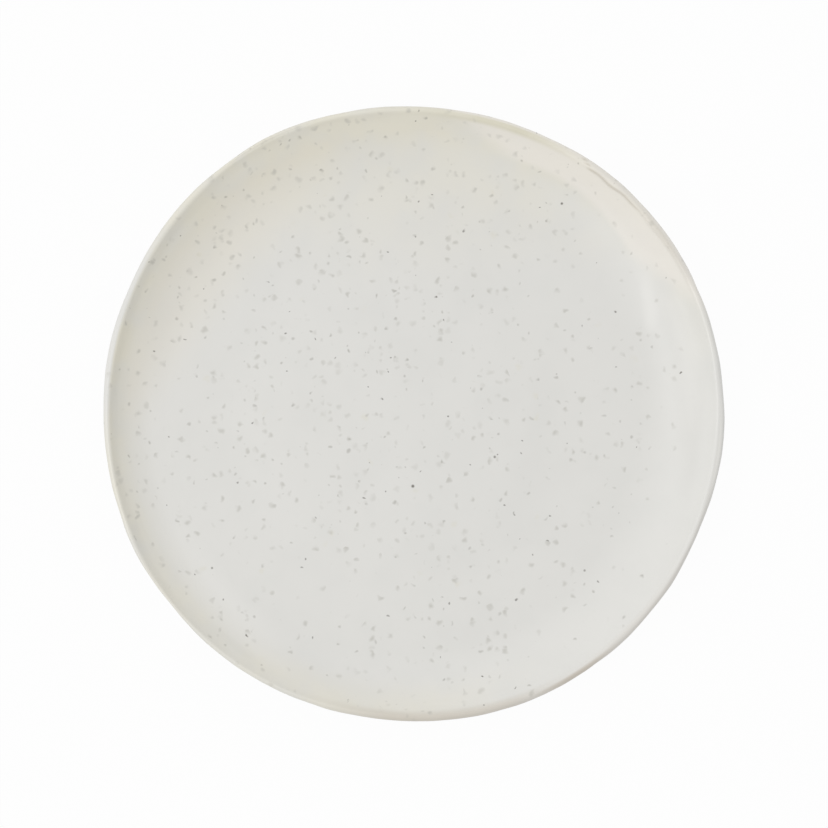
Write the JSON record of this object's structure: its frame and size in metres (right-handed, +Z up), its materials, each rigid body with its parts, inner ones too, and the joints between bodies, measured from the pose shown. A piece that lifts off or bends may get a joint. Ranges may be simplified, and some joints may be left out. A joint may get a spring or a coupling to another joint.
{
  "type": "breakfast plate",
  "caption": "Round breakfast plate in speckled off-white stoneware: a flat well, a low wall that curves up to a rounded lip, and a bare turned foot ring to stand on.",
  "frame": {"origin": "centre of the foot ring, on the table", "axes": "+Z up out of the well; +X to the right and +Y to the top of the picture, which looks straight down"},
  "size_m": [0.2204, 0.219, 0.0185],
  "materials": {
    "stoneware": "matte",
    "speckled_glaze": "satin"
  },
  "bodies": {
    "root": {"stoneware_body": "stoneware", "glaze_coat": "speckled_glaze", "foot_well_glaze": "speckled_glaze"}
  },
  "joints": []
}
